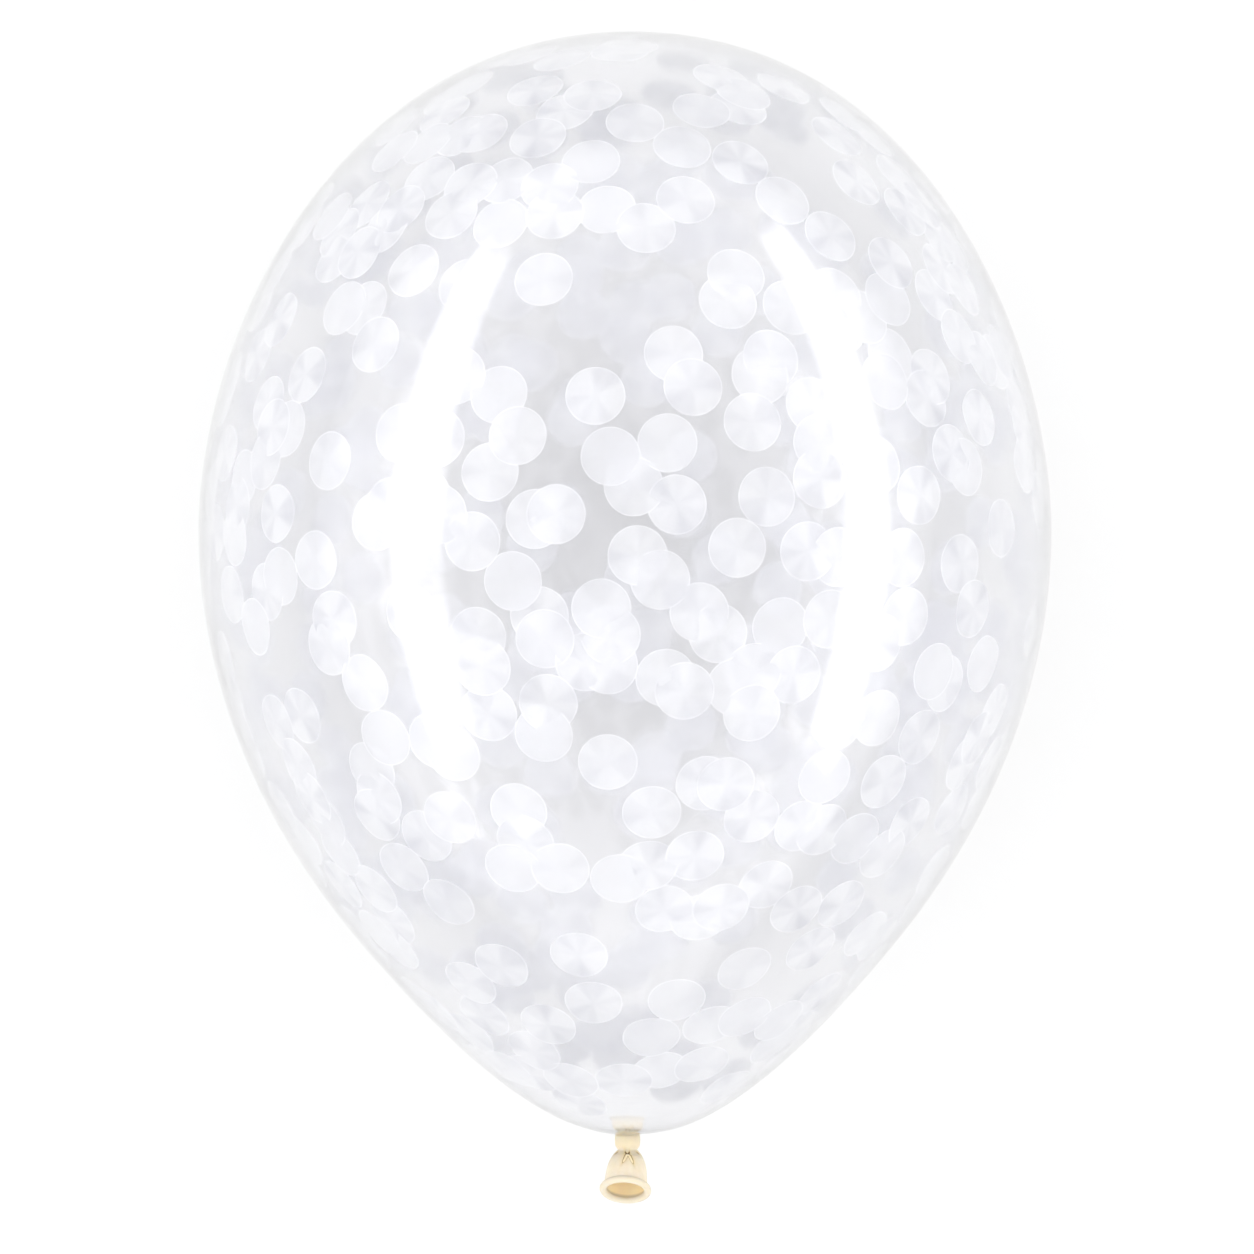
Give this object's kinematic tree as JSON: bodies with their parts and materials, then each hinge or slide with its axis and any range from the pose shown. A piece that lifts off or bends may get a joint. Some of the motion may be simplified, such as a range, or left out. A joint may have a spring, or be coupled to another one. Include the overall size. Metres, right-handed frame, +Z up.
{
  "type": "confetti balloon",
  "caption": "Clear latex party balloon, pear-shaped and knotted, with white pearly confetti discs inside, lying on its side.",
  "frame": {"origin": "middle of the flat spot that the balloon rests on, straight below its widest section", "axes": "+Y along the balloon from its knot to its crown, +Z up from the floor, +X to the right of the picture"},
  "size_m": [0.3, 0.4125, 0.298],
  "materials": {
    "clear_latex": "clear thin latex, faintly grey and glossy, cream where it is unstretched at the knot and the rolled mouth",
    "confetti": "white pearly confetti discs"
  },
  "bodies": {
    "root": {"balloon": "clear_latex"}
  },
  "joints": []
}
